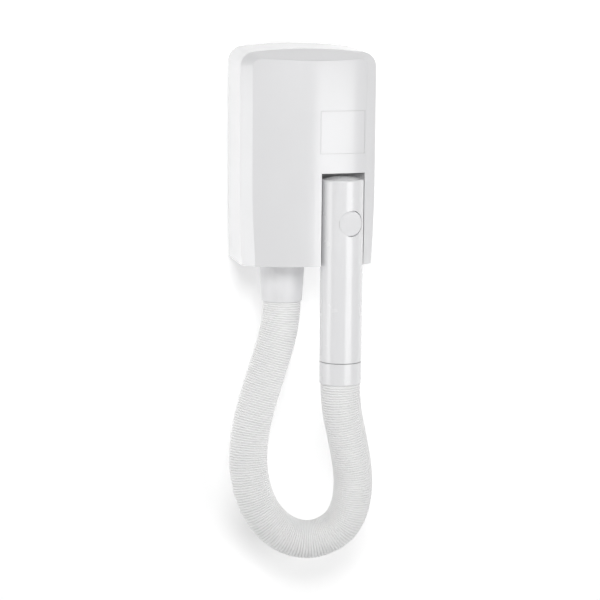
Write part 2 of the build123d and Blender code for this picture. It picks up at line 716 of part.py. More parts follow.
with BuildPart() as heater_sleeve:
    with BuildSketch(level(SLEEVE_FOOT)):
        with Locations(duct_place[0]):
            Circle(SLEEVE_RADIUS)
            Circle(SLEEVE_BORE, mode=Mode.SUBTRACT)
    extrude(amount=SLEEVE_TOP - SLEEVE_FOOT)
heater_sleeve.part.label = "heater_sleeve"
export_step(heater_sleeve.part, "parts/heater_sleeve.step")

frame_foot = -96.0
frame_top = -18.0
fin_half = 15.8
tab_half = SLEEVE_BORE - 0.3
fin_thickness = 1.2
with BuildPart() as heater_frame:
    for fin_plane in (Plane.XZ, Plane.YZ):
        centred = Plane(
            origin=(DUCT_X, -DUCT_DEPTH, 0), x_dir=fin_plane.x_dir, z_dir=fin_plane.z_dir
        )
        with BuildSketch(centred):
            with Locations((0, (frame_foot + frame_top) / 2)):
                Rectangle(2 * fin_half, frame_top - frame_foot)
            with Locations((0, frame_foot + 2.5), (0, frame_top - 2.5)):
                Rectangle(2 * tab_half, 5)
        extrude(amount=fin_thickness / 2, both=True)
heater_frame.part.label = "heater_frame"
export_step(heater_frame.part, "parts/heater_frame.step")

coil_length = 60.0
with BuildPart() as heater_coil:
    coil_base = Plane(origin=(DUCT_X, -DUCT_DEPTH, frame_foot + 9))
    add(compression_spring(coil_base, fin_half + 1.0, 0.6, coil_length, 8))
heater_coil.part.label = "heater_coil"
export_step(heater_coil.part, "parts/heater_coil.step")

cutout_x = DUCT_X + SLEEVE_RADIUS + 0.1
with BuildPart() as thermostat:
    side_plane = Plane(
        origin=(cutout_x, -DUCT_DEPTH + 6, -46.0), x_dir=(0, 1, 0), z_dir=(1, 0, 0)
    )
    with BuildSketch(side_plane):
        Circle(7.0)
    extrude(amount=4.5)
    with BuildSketch(side_plane.offset(4.5)):
        with GridLocations(7, 1, 2, 1):
            Rectangle(0.8, 4.5)
    extrude(amount=6)
thermostat.part.label = "thermostat"
export_step(thermostat.part, "parts/thermostat.step")

with BuildPart() as thermal_fuse:
    fuse_place = [(DUCT_X, -DUCT_DEPTH + SLEEVE_RADIUS + 2.2)]
    add(disc(level(-70), fuse_place, 2.0, 11))
    fillet(thermal_fuse.edges(), 0.5)
    add(disc(level(-82), fuse_place, 0.5, 35))
thermal_fuse.part.label = "thermal_fuse"
export_step(thermal_fuse.part, "parts/thermal_fuse.step")

collar_flange = 27.5
inside_foot = COVER_FOOT + COVER_WALL
with BuildPart() as outlet_collar:
    with BuildSketch(Plane(origin=(DUCT_X, -DUCT_DEPTH, 0), x_dir=(1, 0, 0), z_dir=(0, -1, 0))):
        with BuildLine():
            Polyline(
                (HOSE_BORE / 2, COLLAR_FOOT),
                (COLLAR_TIP_RADIUS, COLLAR_FOOT),
                (COLLAR_RADIUS, COVER_FOOT - 6),
                (COLLAR_RADIUS, inside_foot),
                (collar_flange, inside_foot),
                (collar_flange, inside_foot + 2.5),
                (spigot_radius, inside_foot + 2.5),
                (spigot_radius, SLEEVE_FOOT + 6),
                (spigot_radius - 2, SLEEVE_FOOT + 6),
                (spigot_radius - 2, COVER_FOOT),
                close=True,
            )
        make_face()
    revolve(axis=Axis((DUCT_X, -DUCT_DEPTH, 0), (0, 0, 1)))
    tip = outlet_collar.edges().group_by(Axis.Z)[0].sort_by(SortBy.RADIUS)[-1]
    fillet(tip, 1.0)
outlet_collar.part.label = "outlet_collar"
export_step(outlet_collar.part, "parts/outlet_collar.step")

with BuildPart() as inlet_filter:
    with BuildSketch(level(inside_foot + 0.2)):
        with Locations(slot_centre):
            RectangleRounded(48, 46, 3)
    extrude(amount=4)
inlet_filter.part.label = "inlet_filter"
export_step(inlet_filter.part, "parts/inlet_filter.step")


# ---------------------------------------------------------------- hose
cuff_seat = CUFF_FOOT + 4.5
hose_end = cuff_seat - 0.2
hose_points = [
    (DUCT_X, -DUCT_DEPTH, COLLAR_FOOT),
    (DUCT_X, -50, -184),
    (-33.4, -52, -226),
    (-48, -55, -268),
    (-59.8, -59, -312),
    (-61.8, -63, -356),
    (-49.4, -67, -398),
    (-24, -71, -425.5),
    (8, -75, -434),
    (38.6, -79, -421),
    (52.4, -83, -397),
    (55.4, -88, -360),
    (47.4, -93, -317),
    (HANDSET_X, HANDSET_Y, -272),
    (HANDSET_X, HANDSET_Y, hose_end),
]


def corner_radii(points):
    """The largest arc that each corner's two runs leave room for."""
    corners = [Vector(*point) for point in points]
    radii = []
    for before, corner, after in zip(corners, corners[1:], corners[2:]):
        half_turn = radians((corner - before).get_angle(after - corner)) / 2
        shorter = min((corner - before).length, (after - corner).length)
        radii.append(0.45 * shorter / tan(half_turn))
    return radii


hose_radii = corner_radii(hose_points)
hose_path = FilletPolyline(*hose_points, radius=hose_radii)
with BuildPart() as hose:
    with BuildSketch(Plane(origin=hose_points[0], x_dir=(1, 0, 0), z_dir=(0, 0, -1))):
        Circle(HOSE_DIAMETER / 2)
        Circle(HOSE_BORE / 2, mode=Mode.SUBTRACT)
    sweep(path=hose_path)
hose.part.label = "hose"
export_step(hose.part, "parts/hose.step")

hose_section = pi * (HOSE_DIAMETER**2 - HOSE_BORE**2) / 4
print("hose corner radii", [round(radius, 1) for radius in hose_radii])
print("hose length", round(hose_path.length, 1), "volume", round(hose.part.volume, 1))
print("section times length", round(hose_section * hose_path.length, 1))

swivel_radius = HANDSET_RADIUS - HANDSET_WALL - 0.08
swivel_top = HANDSET_FOOT + 12.5
washer_thickness = 0.7
cuff_shoulder = HANDSET_FOOT - washer_thickness - 0.2
snap_height = HANDSET_FOOT + 9.0
handset_place = [(HANDSET_X, HANDSET_Y)]
with BuildPart() as hose_cuff:
    with BuildSketch(Plane(origin=(HANDSET_X, HANDSET_Y, 0), x_dir=(1, 0, 0), z_dir=(0, -1, 0))):
        with BuildLine():
            Polyline(
                (HOSE_DIAMETER / 2 + 0.3, CUFF_FOOT),
                (HANDSET_RADIUS, CUFF_FOOT),
                (HANDSET_RADIUS, cuff_shoulder),
                (swivel_radius, cuff_shoulder),
                (swivel_radius, snap_height - 1.2),
                (swivel_radius + 0.6, snap_height),
                (swivel_radius, snap_height + 1.2),
                (swivel_radius, swivel_top),
                (HOSE_BORE / 2 - 0.4, swivel_top),
                (HOSE_BORE / 2 - 0.4, cuff_seat),
                (HOSE_DIAMETER / 2 + 0.3, cuff_seat),
                close=True,
            )
        make_face()
    revolve(axis=Axis((HANDSET_X, HANDSET_Y, 0), (0, 0, 1)))
    rim = hose_cuff.edges().group_by(Axis.Z)[0].sort_by(SortBy.RADIUS)[-1]
    fillet(rim, 1.0)
hose_cuff.part.label = "hose_cuff"
export_step(hose_cuff.part, "parts/hose_cuff.step")

with BuildPart() as swivel_washer:
    with BuildSketch(level(HANDSET_FOOT - washer_thickness)):
        with Locations(handset_place[0]):
            Circle(HANDSET_RADIUS - 0.35)
            Circle(swivel_radius + 0.3, mode=Mode.SUBTRACT)
    extrude(amount=washer_thickness)
swivel_washer.part.label = "swivel_washer"
export_step(swivel_washer.part, "parts/swivel_washer.step")


# ---------------------------------------------------------------- handset
bore_radius = HANDSET_RADIUS - HANDSET_WALL
guide_bore = BUTTON_RADIUS + 0.3
skirt_foot = 9.5  # height of the button's foot along its axis
guide_foot = skirt_foot + BUTTON_FLANGE + 0.2


def handset_core(radius):
    """A round bar on the handset's axis, past both ends of the button."""
    return disc(level(BUTTON_Z - 25), handset_place, radius, 50)


with BuildPart() as button_guide:
    with BuildSketch(button_plane.offset(guide_foot)):
        Circle(guide_bore + GUIDE_WALL)
    extrude(amount=20)
    add(handset_core(HANDSET_RADIUS - 1), mode=Mode.INTERSECT)

with BuildPart() as handset_body:
    add(disc(level(HANDSET_FOOT), handset_place, HANDSET_RADIUS, HANDSET_TOP - HANDSET_FOOT))
    add(disc(level(HANDSET_FOOT - 1), handset_place, bore_radius, 300), mode=Mode.SUBTRACT)
    fillet(handset_body.edges().group_by(Axis.Z)[-1].sort_by(SortBy.RADIUS)[-1], 2.0)
    groove = disc(level(snap_height - 1.8), handset_place, bore_radius + 0.9, 3.6)
    add(groove, mode=Mode.SUBTRACT)
    add(button_guide.part)
    with BuildSketch(button_plane.offset(guide_foot - 1)):
        Circle(guide_bore)
    extrude(amount=20, mode=Mode.SUBTRACT)
handset_body.part.label = "handset_body"
export_step(handset_body.part, "parts/handset_body.step")

grille_top = HANDSET_TOP - 0.8
with BuildPart() as outlet_grille:
    with BuildSketch(level(grille_top - 2.0)):
        with Locations(handset_place[0]):
            Circle(bore_radius - 0.05)
            for ring in (17.6, 12.6, 7.6):
                Circle(ring, mode=Mode.SUBTRACT)
                Circle(ring - 3.2)
            Circle(2.6)
            with PolarLocations(9.0, 6):
                Rectangle(19.5, 1.6)
    extrude(amount=2.0)
    with BuildSketch(level(grille_top - 6.0)):
        with Locations(handset_place[0]):
            Circle(bore_radius - 0.05)
            Circle(bore_radius - 1.6, mode=Mode.SUBTRACT)
    extrude(amount=4.0)
outlet_grille.part.label = "outlet_grille"
export_step(outlet_grille.part, "parts/outlet_grille.step")

shelf = -4.5  # height of the switch shelf along the button's axis
tray_half = 22.5
tray_wall = 1.5
cross_plane = Plane(
    origin=(HANDSET_X, HANDSET_Y, BUTTON_Z - tray_half),
    x_dir=(cos(radians(BUTTON_TURN)), sin(radians(BUTTON_TURN)), 0),
    z_dir=(0, 0, 1),
)
with BuildPart() as switch_carrier:
    with BuildSketch(cross_plane):
        Circle(bore_radius - 0.3)
        with Locations((0, 30 - shelf + tray_wall)):
            Rectangle(60, 60, mode=Mode.SUBTRACT)
    extrude(amount=2 * tray_half)
    with BuildSketch(cross_plane.offset(tray_wall)):
        with Locations((0, -30 - shelf)):
            Rectangle(60, 60)
    extrude(amount=2 * (tray_half - tray_wall), mode=Mode.SUBTRACT)
switch_carrier.part.label = "switch_carrier"
export_step(switch_carrier.part, "parts/switch_carrier.step")

with BuildPart() as handset_switch:
    with BuildSketch(button_plane.offset(shelf)):
        Rectangle(12.8, 6.5)
    extrude(amount=5.6)
    fillet(handset_switch.edges().filter_by(Axis(button_plane.origin, button_axis)), 0.5)
    with BuildSketch(button_plane.offset(shelf + 5.6)):
        Rectangle(2.6, 1.6)
    extrude(amount=0.9)
handset_switch.part.label = "handset_switch"
export_step(handset_switch.part, "parts/handset_switch.step")

stem_foot = shelf + 6.5 + BUTTON_TRAVEL + 0.4
with BuildPart() as push_button:
    with BuildSketch(button_plane.offset(skirt_foot)):
        Circle(BUTTON_RADIUS)
    extrude(amount=BUTTON_FACE - skirt_foot)
    face_edge = push_button.edges().sort_by(Axis(button_plane.origin, button_axis))[-1]
    fillet(face_edge, 0.8)
    with BuildSketch(button_plane.offset(skirt_foot)):
        Circle(BUTTON_RADIUS - BUTTON_WALL)
    extrude(amount=BUTTON_FACE - BUTTON_WALL - skirt_foot, mode=Mode.SUBTRACT)
    with BuildSketch(button_plane.offset(skirt_foot)):
        Circle(BUTTON_RADIUS + BUTTON_FLANGE)
        Circle(BUTTON_RADIUS - BUTTON_WALL, mode=Mode.SUBTRACT)
    extrude(amount=BUTTON_FLANGE)
    with BuildSketch(button_plane.offset(stem_foot)):
        Circle(3.0)
    extrude(amount=BUTTON_FACE - 1.0 - stem_foot)
push_button.part.label = "push_button"
export_step(push_button.part, "parts/push_button.step")

with BuildPart() as button_spring:
    spring_base = button_plane.offset(shelf + 0.6)
    roof = BUTTON_FACE - BUTTON_WALL
    add(compression_spring(spring_base, 8.6, 0.45, roof - shelf - 1.4, 6))
button_spring.part.label = "button_spring"
export_step(button_spring.part, "parts/button_spring.step")


# ---------------------------------------------------------------- holder latch and switch
magnet_z = -98.0
with BuildPart() as handset_magnet:
    magnet_depth = -HANDSET_Y - (bore_radius - 1.2)
    add(disc(wall_plane(magnet_depth), [(HANDSET_X, magnet_z)], 6.0, 3.0))
    chamfer(handset_magnet.edges(), 0.3)
handset_magnet.part.label = "handset_magnet"
export_step(handset_magnet.part, "parts/handset_magnet.step")

with BuildPart() as holder_magnet:
    add(disc(wall_plane(bay_back - 4.2), [(HANDSET_X, magnet_z)], 6.0, 4.0))
    chamfer(holder_magnet.edges(), 0.3)
holder_magnet.part.label = "holder_magnet"
export_step(holder_magnet.part, "parts/holder_magnet.step")

plunger_travel = 2.0
plunger_tip = -HANDSET_Y - HANDSET_RADIUS - 0.4
with BuildPart() as holder_plunger:
    plunger_place = [(HANDSET_X, plunger_z)]
    add(disc(wall_plane(60.0), plunger_place, plunger_radius, plunger_tip - 60.0))
    fillet(holder_plunger.edges().group_by(Axis.Y)[0], 0.8)
    flange_depth = bay_back - plunger_travel - 0.4 - 1.2
    add(disc(wall_plane(flange_depth), plunger_place, 4.2, 1.2))
holder_plunger.part.label = "holder_plunger"
export_step(holder_plunger.part, "parts/holder_plunger.step")

with BuildPart() as holder_switch:
    with BuildSketch(wall_plane(49.0)):
        with Locations(plunger_place[0]):
            Rectangle(7, 18)
    extrude(amount=9.0)
    fillet(holder_switch.edges().filter_by(Axis.Y), 0.6)
    with BuildSketch(wall_plane(58.0)):
        with Locations(plunger_place[0]):
            Rectangle(2, 3)
    extrude(amount=1.4)
holder_switch.part.label = "holder_switch"
export_step(holder_switch.part, "parts/holder_switch.step")

with BuildPart() as plunger_spring:
    spring_base = Plane(origin=(HANDSET_X, -59.9, plunger_z), x_dir=(1, 0, 0), z_dir=(0, -1, 0))
    add(compression_spring(spring_base, 3.3, 0.3, flange_depth - 60.3, 3))
plunger_spring.part.label = "plunger_spring"
export_step(plunger_spring.part, "parts/plunger_spring.step")

leg_reach = -HANDSET_Y - sqrt((BAY_RADIUS + COVER_WALL) ** 2 - 11.5**2) - 0.3
with BuildPart() as switch_bracket:
    with BuildSketch(wall_plane(46.8)):
        with Locations(plunger_place[0]):
            Rectangle(27, 22)
    extrude(amount=2.2)
    with BuildSketch(wall_plane(46.8)):
        with Locations((HANDSET_X - 12.5, plunger_z), (HANDSET_X + 12.5, plunger_z)):
            Rectangle(2, 22)
    extrude(amount=leg_reach - 46.8)
switch_bracket.part.label = "switch_bracket"
export_step(switch_bracket.part, "parts/switch_bracket.step")
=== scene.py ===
import json
import math
import random

import bpy
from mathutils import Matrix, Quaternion, Vector


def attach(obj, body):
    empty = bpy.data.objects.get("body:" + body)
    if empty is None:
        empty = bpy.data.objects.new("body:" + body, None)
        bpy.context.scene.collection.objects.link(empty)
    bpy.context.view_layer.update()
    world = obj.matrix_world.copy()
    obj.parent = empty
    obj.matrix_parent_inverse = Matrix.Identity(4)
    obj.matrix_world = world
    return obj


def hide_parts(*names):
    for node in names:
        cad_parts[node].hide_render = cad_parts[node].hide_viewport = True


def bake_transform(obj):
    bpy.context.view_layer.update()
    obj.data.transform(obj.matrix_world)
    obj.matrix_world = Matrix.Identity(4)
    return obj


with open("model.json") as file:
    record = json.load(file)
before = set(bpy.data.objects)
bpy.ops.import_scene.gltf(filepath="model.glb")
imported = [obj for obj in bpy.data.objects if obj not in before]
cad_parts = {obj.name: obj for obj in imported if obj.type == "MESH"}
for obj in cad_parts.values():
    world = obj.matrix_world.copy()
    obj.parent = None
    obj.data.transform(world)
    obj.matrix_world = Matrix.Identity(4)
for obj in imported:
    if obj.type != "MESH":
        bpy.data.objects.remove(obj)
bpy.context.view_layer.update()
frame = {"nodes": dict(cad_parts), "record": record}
nodes = frame["nodes"]

MM = 0.001

# ---------------------------------------------------------------- camera
# The view of the housing: a little from the left and from above, with a long lens.
CAMERA_AT = Vector((-0.4097, -2.2130, 0.1715))
CAMERA_AZIMUTH = math.radians(10.7)
CAMERA_DROP = math.radians(8.6)
CAMERA_ROLL = math.radians(0.5)
CAMERA_LENS = 118.9
CAMERA_SENSOR = 36.0
CAMERA_CLIP = (0.05, 20.0)


def make_camera():
    """A long lens at the housing's height, turned by the roll last."""
    data = bpy.data.cameras.new("camera")
    data.lens = CAMERA_LENS
    data.sensor_width = CAMERA_SENSOR
    data.clip_start, data.clip_end = CAMERA_CLIP
    camera = bpy.data.objects.new("camera", data)
    bpy.context.scene.collection.objects.link(camera)
    level = math.cos(CAMERA_DROP)
    looks = Vector(
        (
            math.sin(CAMERA_AZIMUTH) * level,
            math.cos(CAMERA_AZIMUTH) * level,
            -math.sin(CAMERA_DROP),
        )
    )
    camera.rotation_mode = "QUATERNION"
    roll = Quaternion(looks, -CAMERA_ROLL)
    camera.rotation_quaternion = roll @ looks.to_track_quat("-Z", "Y")
    camera.location = CAMERA_AT
    bpy.context.scene.camera = camera


# ---------------------------------------------------------------- hose
HOSE_DIAMETER = 0.0434
HOSE_WALL = 0.0008
HOSE_SWELL = 0.0006  # growth of the hose's radius from the collar to the cuff
HOSE_SWELL_END = 0.97  # share of the length where that growth stops
HOSE_AROUND = 72
HOSE_BORE_RINGS = 180
HOSE_SEED = 7
RIB_PITCH = 0.0027
RIB_DEPTH = 0.0012
RIB_STEPS = (0.0, 0.05, 0.16, 0.32, 0.5, 0.68, 0.84, 0.95)
RIB_UNEVEN = 0.00005
RIB_LEAN = 0.00008
# Below the collar the hose follows the housing, and past the bend it follows the handset.
# The route's points, in metres: the collar's end first, the cuff's seat last.
HOSE_ROUTE = [
    (-0.022, -0.050, -0.161),
    (-0.022, -0.050, -0.184),
    (-0.0334, -0.052, -0.226),
    (-0.048, -0.055, -0.268),
    (-0.0598, -0.059, -0.312),
    (-0.0618, -0.063, -0.356),
    (-0.0494, -0.067, -0.398),
    (-0.024, -0.071, -0.4255),
    (0.008, -0.075, -0.434),
    (0.0386, -0.079, -0.421),
    (0.0524, -0.083, -0.397),
    (0.0554, -0.088, -0.360),
    (0.0474, -0.093, -0.317),
    (0.0362, -0.097, -0.272),
    (0.0362, -0.097, -0.2432),
]


def route_points(route):
    """Closely spaced points of one smooth NURBS spline with the route's points as controls."""
    curve = bpy.data.curves.new("route", "CURVE")
    curve.dimensions = "3D"
    spline = curve.splines.new("NURBS")
    spline.points.add(len(route) - 1)
    for point, at in zip(spline.points, route):
        point.co = (*at, 1.0)
    spline.order_u = 3
    spline.use_endpoint_u = True
    spline.resolution_u = 32
    holder = bpy.data.objects.new("route", curve)
    bpy.context.scene.collection.objects.link(holder)
    bpy.context.view_layer.update()
    line = bpy.data.meshes.new_from_object(holder)
    points = [vertex.co.copy() for vertex in line.vertices]
    bpy.data.meshes.remove(line)
    bpy.data.objects.remove(holder)
    bpy.data.curves.remove(curve)
    return points


class Path:
    """Positions and turning frames along a line of points, by distance from its start."""

    def __init__(self, points):
        self.points = points
        self.reach = [0.0]
        for before, after in zip(points, points[1:]):
            self.reach.append(self.reach[-1] + (after - before).length)
        self.length = self.reach[-1]
        self.across = []
        side = Vector((1, 0, 0))
        for index in range(len(points)):
            ahead = self.direction(index)
            side = (side - ahead * side.dot(ahead)).normalized()
            self.across.append(side.copy())
        self.cursor = 0

    def direction(self, index):
        low = max(index - 1, 0)
        high = min(index + 1, len(self.points) - 1)
        return (self.points[high] - self.points[low]).normalized()

    def frame(self, distance):
        """Position, direction and two cross vectors at a distance. Distances must not fall."""
        while self.cursor < len(self.points) - 2 and self.reach[self.cursor + 1] < distance:
            self.cursor += 1
        step = self.reach[self.cursor + 1] - self.reach[self.cursor]
        share = min(max((distance - self.reach[self.cursor]) / step, 0.0), 1.0)
        here = self.points[self.cursor].lerp(self.points[self.cursor + 1], share)
        ahead = self.direction(self.cursor).lerp(self.direction(self.cursor + 1), share)
        side = self.across[self.cursor].lerp(self.across[self.cursor + 1], share)
        ahead.normalize()
        side = (side - ahead * side.dot(ahead)).normalized()
        return here, ahead, side, ahead.cross(side)


def tube_mesh(name, rings):
    """A mesh of rings of equal count, each a list of points; the last ring meets the first."""
    count = len(rings[0])
    vertices = [point for ring in rings for point in ring]
    faces = []
    total = len(rings)
    for ring in range(total):
        after = (ring + 1) % total
        for index in range(count):
            beside = (index + 1) % count
            faces.append(
                (
                    ring * count + index,
                    ring * count + beside,
                    after * count + beside,
                    after * count + index,
                )
            )
    mesh = bpy.data.meshes.new(name)
    mesh.from_pydata(vertices, [], faces)
    mesh.update()
    mesh.shade_smooth()
    return mesh


def add_object(name, mesh):
    piece = bpy.data.objects.new(name, mesh)
    bpy.context.scene.collection.objects.link(piece)
    return piece


def hose_ring(frame_here, radius, lean=0.0, lean_at=0.0):
    """One ring of the hose, its points moved along the hose by up to lean."""
    here, ahead, side, up = frame_here
    ring = []
    for index in range(HOSE_AROUND):
        angle = math.tau * index / HOSE_AROUND
        spoke = side * math.cos(angle) + up * math.sin(angle)
        ring.append(here + spoke * radius + ahead * (lean * math.cos(angle - lean_at)))
    return ring


def make_hose():
    """The corrugated hose: rounded ribs outside with narrow valleys, a plain bore inside."""
    points = route_points(HOSE_ROUTE)
    path = Path(points)
    chance = random.Random(HOSE_SEED)
    count = round(path.length / RIB_PITCH)
    pitch = path.length / count
    rings = []
    depths = []
    for rib in range(count):
        swell = chance.uniform(-RIB_UNEVEN, RIB_UNEVEN)
        lean = chance.uniform(-RIB_LEAN, RIB_LEAN)
        lean_at = chance.uniform(0, math.tau)
        for share in RIB_STEPS:
            distance = (rib + share) * pitch
            crest = math.sqrt(max(0.0, 1 - (2 * share - 1) ** 2))
            taper = HOSE_SWELL * (min(distance / path.length, HOSE_SWELL_END) - 0.5)
            radius = HOSE_DIAMETER / 2 + taper - RIB_DEPTH * (1 - crest) + swell * crest
            rings.append(hose_ring(path.frame(distance), radius, lean * crest, lean_at))
            depths.extend([1.0 - crest] * HOSE_AROUND)
    valley = HOSE_DIAMETER / 2 - RIB_DEPTH
    rings.append(hose_ring(path.frame(path.length), valley))
    bore = Path(points)
    bore_rings = [
        hose_ring(bore.frame(path.length * step / HOSE_BORE_RINGS), valley - HOSE_WALL)
        for step in range(HOSE_BORE_RINGS + 1)
    ]
    rings.extend(reversed(bore_rings))
    hose = add_object("hose_ribbed", tube_mesh("hose_ribbed", rings))
    # The valleys' depth, kept on the hose as the mask of the painted shade between the ribs.
    groove_shade_layer = hose.data.attributes.new("groove_shade_mask", "FLOAT", "POINT")
    depths.extend([0.0] * (len(hose.data.vertices) - len(depths)))
    groove_shade_layer.data.foreach_set("value", depths)
    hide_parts("hose")
    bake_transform(hose)
    return hose


def make_spring(name, node, material):
    """A coil spring: a copy of the CAD spring's mesh in the given material, in place of that
    piece.
    """
    mesh = nodes[node].data.copy()
    mesh.transform(nodes[node].matrix_world)
    mesh.materials.clear()
    mesh.materials.append(material)
    spring = add_object(name, mesh)
    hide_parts(node)
    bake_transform(spring)


def make_springs(material):
    """The button's and the holder plunger's return springs."""
    make_spring(
        "button_coil",
        "button_spring",
        material,
    )
    make_spring(
        "plunger_coil",
        "plunger_spring",
        material,
    )


# ---------------------------------------------------------------- outlet grille
GRILLE_MIDDLE = Vector((0.0362, -0.097, -0.0216))
GRILLE_RADIUS = 0.0207
GRILLE_DOME = 0.0034
GRILLE_SKIRT = 0.0062
GRILLE_WALL = 0.0015
GRILLE_HUB = 0.9 * MM
GRILLE_AROUND = 144
GRILLE_SPOKE_EVERY = 24
GRILLE_SPOKE_STEPS = 3
GRILLE_SHARP = math.radians(35)
# The outer and inner radius of each ring of slots, in millimetres.
SLOT_RINGS = [(17.9, 16.9), (15.3, 14.3), (12.7, 11.7), (10.1, 9.1), (7.5, 6.5), (4.9, 3.9)]


def make_grille(material):
    """The outlet's grille: a shallow dome with rings of slots, in a short skirt."""
    around = GRILLE_AROUND
    radii = sorted({r * MM for pair in SLOT_RINGS for r in pair} | {GRILLE_HUB, GRILLE_RADIUS})
    slots = {(inner * MM, outer * MM) for outer, inner in SLOT_RINGS}
    rings = [(radius, GRILLE_DOME * (1 - (radius / GRILLE_RADIUS) ** 3)) for radius in radii]
    rings.append((GRILLE_RADIUS, -GRILLE_SKIRT))
    vertices = [GRILLE_MIDDLE + Vector((0, 0, GRILLE_DOME))]
    for radius, height in rings:
        for step in range(around):
            angle = math.tau * step / around
            spot = Vector((radius * math.cos(angle), radius * math.sin(angle), height))
            vertices.append(GRILLE_MIDDLE + spot)
    faces = [(0, 1 + step, 1 + (step + 1) % around) for step in range(around)]
    for ring in range(len(rings) - 1):
        slotted = (rings[ring][0], rings[ring + 1][0]) in slots
        for step in range(around):
            if slotted and step % GRILLE_SPOKE_EVERY >= GRILLE_SPOKE_STEPS:
                continue
            low = 1 + ring * around
            beside = (step + 1) % around
            high = low + around
            faces.append((low + step, high + step, high + beside, low + beside))
    mesh = bpy.data.meshes.new("grille_dome")
    mesh.from_pydata(vertices, [], faces)
    grille = add_object("grille_dome", mesh)
    solid = grille.modifiers.new("wall", "SOLIDIFY")
    solid.thickness = GRILLE_WALL
    solid.offset = -1
    solid.use_even_offset = True
    bpy.context.view_layer.update()
    view = bpy.context.evaluated_depsgraph_get()
    grille.data = bpy.data.meshes.new_from_object(grille.evaluated_get(view))
    grille.modifiers.clear()
    grille.data.shade_smooth()
    grille.data.set_sharp_from_angle(angle=GRILLE_SHARP)
    grille.data.materials.append(material)
    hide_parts("outlet_grille")
    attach(grille, "handset")


# ---------------------------------------------------------------- materials
# Painted shade between the hose's ribs: the valleys' colour, and the most of it that is mixed
# in.
GROOVE_SHADE_COLOUR = (0.55, 0.55, 0.54)
GROOVE_SHADE_SHARE = 0.35
COAT_ROUGHNESS = 0.16
PLASTIC_IOR = 1.5
METAL_BRUSHING = 0.3

SHELL_WHITE = (0.80, 0.80, 0.81)
HANDSET_WHITE = (0.84, 0.84, 0.85)
# Each plastic: colour, roughness, depth of the grain, depth of the orange peel, coat.
PLASTICS = {
    "housing_white": (SHELL_WHITE, 0.30, 0.12, 0.15, 0.8),
    "collar_white": (SHELL_WHITE, 0.38, 0.25, 0.15, 0.0),
    "handset_white": (HANDSET_WHITE, 0.26, 0.08, 0.15, 0.5),
    "button_white": ((0.81, 0.81, 0.82), 0.42, 0.2, 0.15, 0.0),
    "cuff_white": (HANDSET_WHITE, 0.26, 0.08, 0.15, 0.5),
    "hose_white": ((0.90, 0.90, 0.90), 0.5, 0.1, 0.1, 0.0),
    "washer_grey": ((0.28, 0.28, 0.29), 0.55, 0.2, 0.15, 0.0),
    "black_rubber": ((0.02, 0.02, 0.02), 0.7, 0.5, 0.15, 0.0),
    "black_plastic": ((0.025, 0.025, 0.028), 0.45, 0.4, 0.15, 0.0),
    "grey_plastic": ((0.22, 0.225, 0.24), 0.45, 0.3, 0.15, 0.0),
    "board_green": ((0.015, 0.10, 0.045), 0.3, 0.3, 0.15, 0.0),
    "board_yellow": ((0.62, 0.45, 0.04), 0.3, 0.1, 0.15, 0.0),
    "mica": ((0.55, 0.48, 0.34), 0.6, 0.7, 0.15, 0.0),
    "filter_foam": ((0.03, 0.03, 0.032), 0.95, 1.0, 0.15, 0.0),
}
# Each metal: colour, roughness.
METALS = {
    "zinc_steel": ((0.62, 0.62, 0.64), 0.32),
    "aluminium": ((0.75, 0.76, 0.77), 0.38),
    "bronze": ((0.65, 0.38, 0.18), 0.4),
    "dark_iron": ((0.12, 0.12, 0.125), 0.5),
    "heater_wire": ((0.35, 0.31, 0.28), 0.5),
    "brushed_steel": ((0.66, 0.66, 0.68), 0.3),
}


def new_material(name):
    material = bpy.data.materials.new(name)
    material.use_nodes = True
    tree = material.node_tree
    shader = tree.nodes["Principled BSDF"]
    return material, tree, shader


def noise(tree, scale, detail=3.0):
    """Noise of 0 to 1 over the piece, with scale features to the metre."""
    coords = tree.nodes.new("ShaderNodeTexCoord")
    texture = tree.nodes.new("ShaderNodeTexNoise")
    texture.inputs["Scale"].default_value = scale
    texture.inputs["Detail"].default_value = detail
    tree.links.new(coords.outputs["Object"], texture.inputs["Vector"])
    return texture.outputs["Fac"]


def spread(tree, value, low, high):
    """The value's range of 0 to 1 stretched to run from low to high."""
    node = tree.nodes.new("ShaderNodeMapRange")
    node.inputs["To Min"].default_value = low
    node.inputs["To Max"].default_value = high
    tree.links.new(value, node.inputs["Value"])
    return node.outputs["Result"]


def mix_colours(tree, share, first, second):
    """The first colour at a share of 0, the second at 1."""
    node = tree.nodes.new("ShaderNodeMix")
    node.data_type = "RGBA"
    node.inputs["A"].default_value = (*first, 1)
    node.inputs["B"].default_value = (*second, 1)
    tree.links.new(share, node.inputs["Factor"])
    return node.outputs["Result"]


def bump(tree, shader, heights):
    """Stacks bumps: each is (height output, distance in metres, strength)."""
    normal = None
    for height, distance, strength in heights:
        node = tree.nodes.new("ShaderNodeBump")
        node.inputs["Distance"].default_value = distance
        node.inputs["Strength"].default_value = strength
        tree.links.new(height, node.inputs["Height"])
        if normal is not None:
            tree.links.new(normal, node.inputs["Normal"])
        normal = node.outputs["Normal"]
    tree.links.new(normal, shader.inputs["Normal"])


def plastic(name, colour, roughness, grain, orange_peel, coat):
    """Moulded plastic: faint colour drift, uneven gloss, fine grain over a soft orange peel."""
    material, tree, shader = new_material(name)
    drift = noise(tree, 18.0)
    paler = tuple(min(1.0, c * 1.02) for c in colour)
    darker = tuple(c * 0.975 for c in colour)
    tree.links.new(mix_colours(tree, drift, darker, paler), shader.inputs["Base Color"])
    patches = noise(tree, 60.0, detail=5.0)
    rough = spread(tree, patches, roughness * 0.88, roughness * 1.14)
    tree.links.new(rough, shader.inputs["Roughness"])
    bump(
        tree,
        shader,
        [
            (noise(tree, 90.0, detail=1.0), 0.0004, orange_peel * 0.2),
            (noise(tree, 2600.0, detail=2.0), 0.00004, grain),
        ],
    )
    shader.inputs["IOR"].default_value = PLASTIC_IOR
    shader.inputs["Coat Weight"].default_value = coat
    shader.inputs["Coat Roughness"].default_value = COAT_ROUGHNESS
    return material


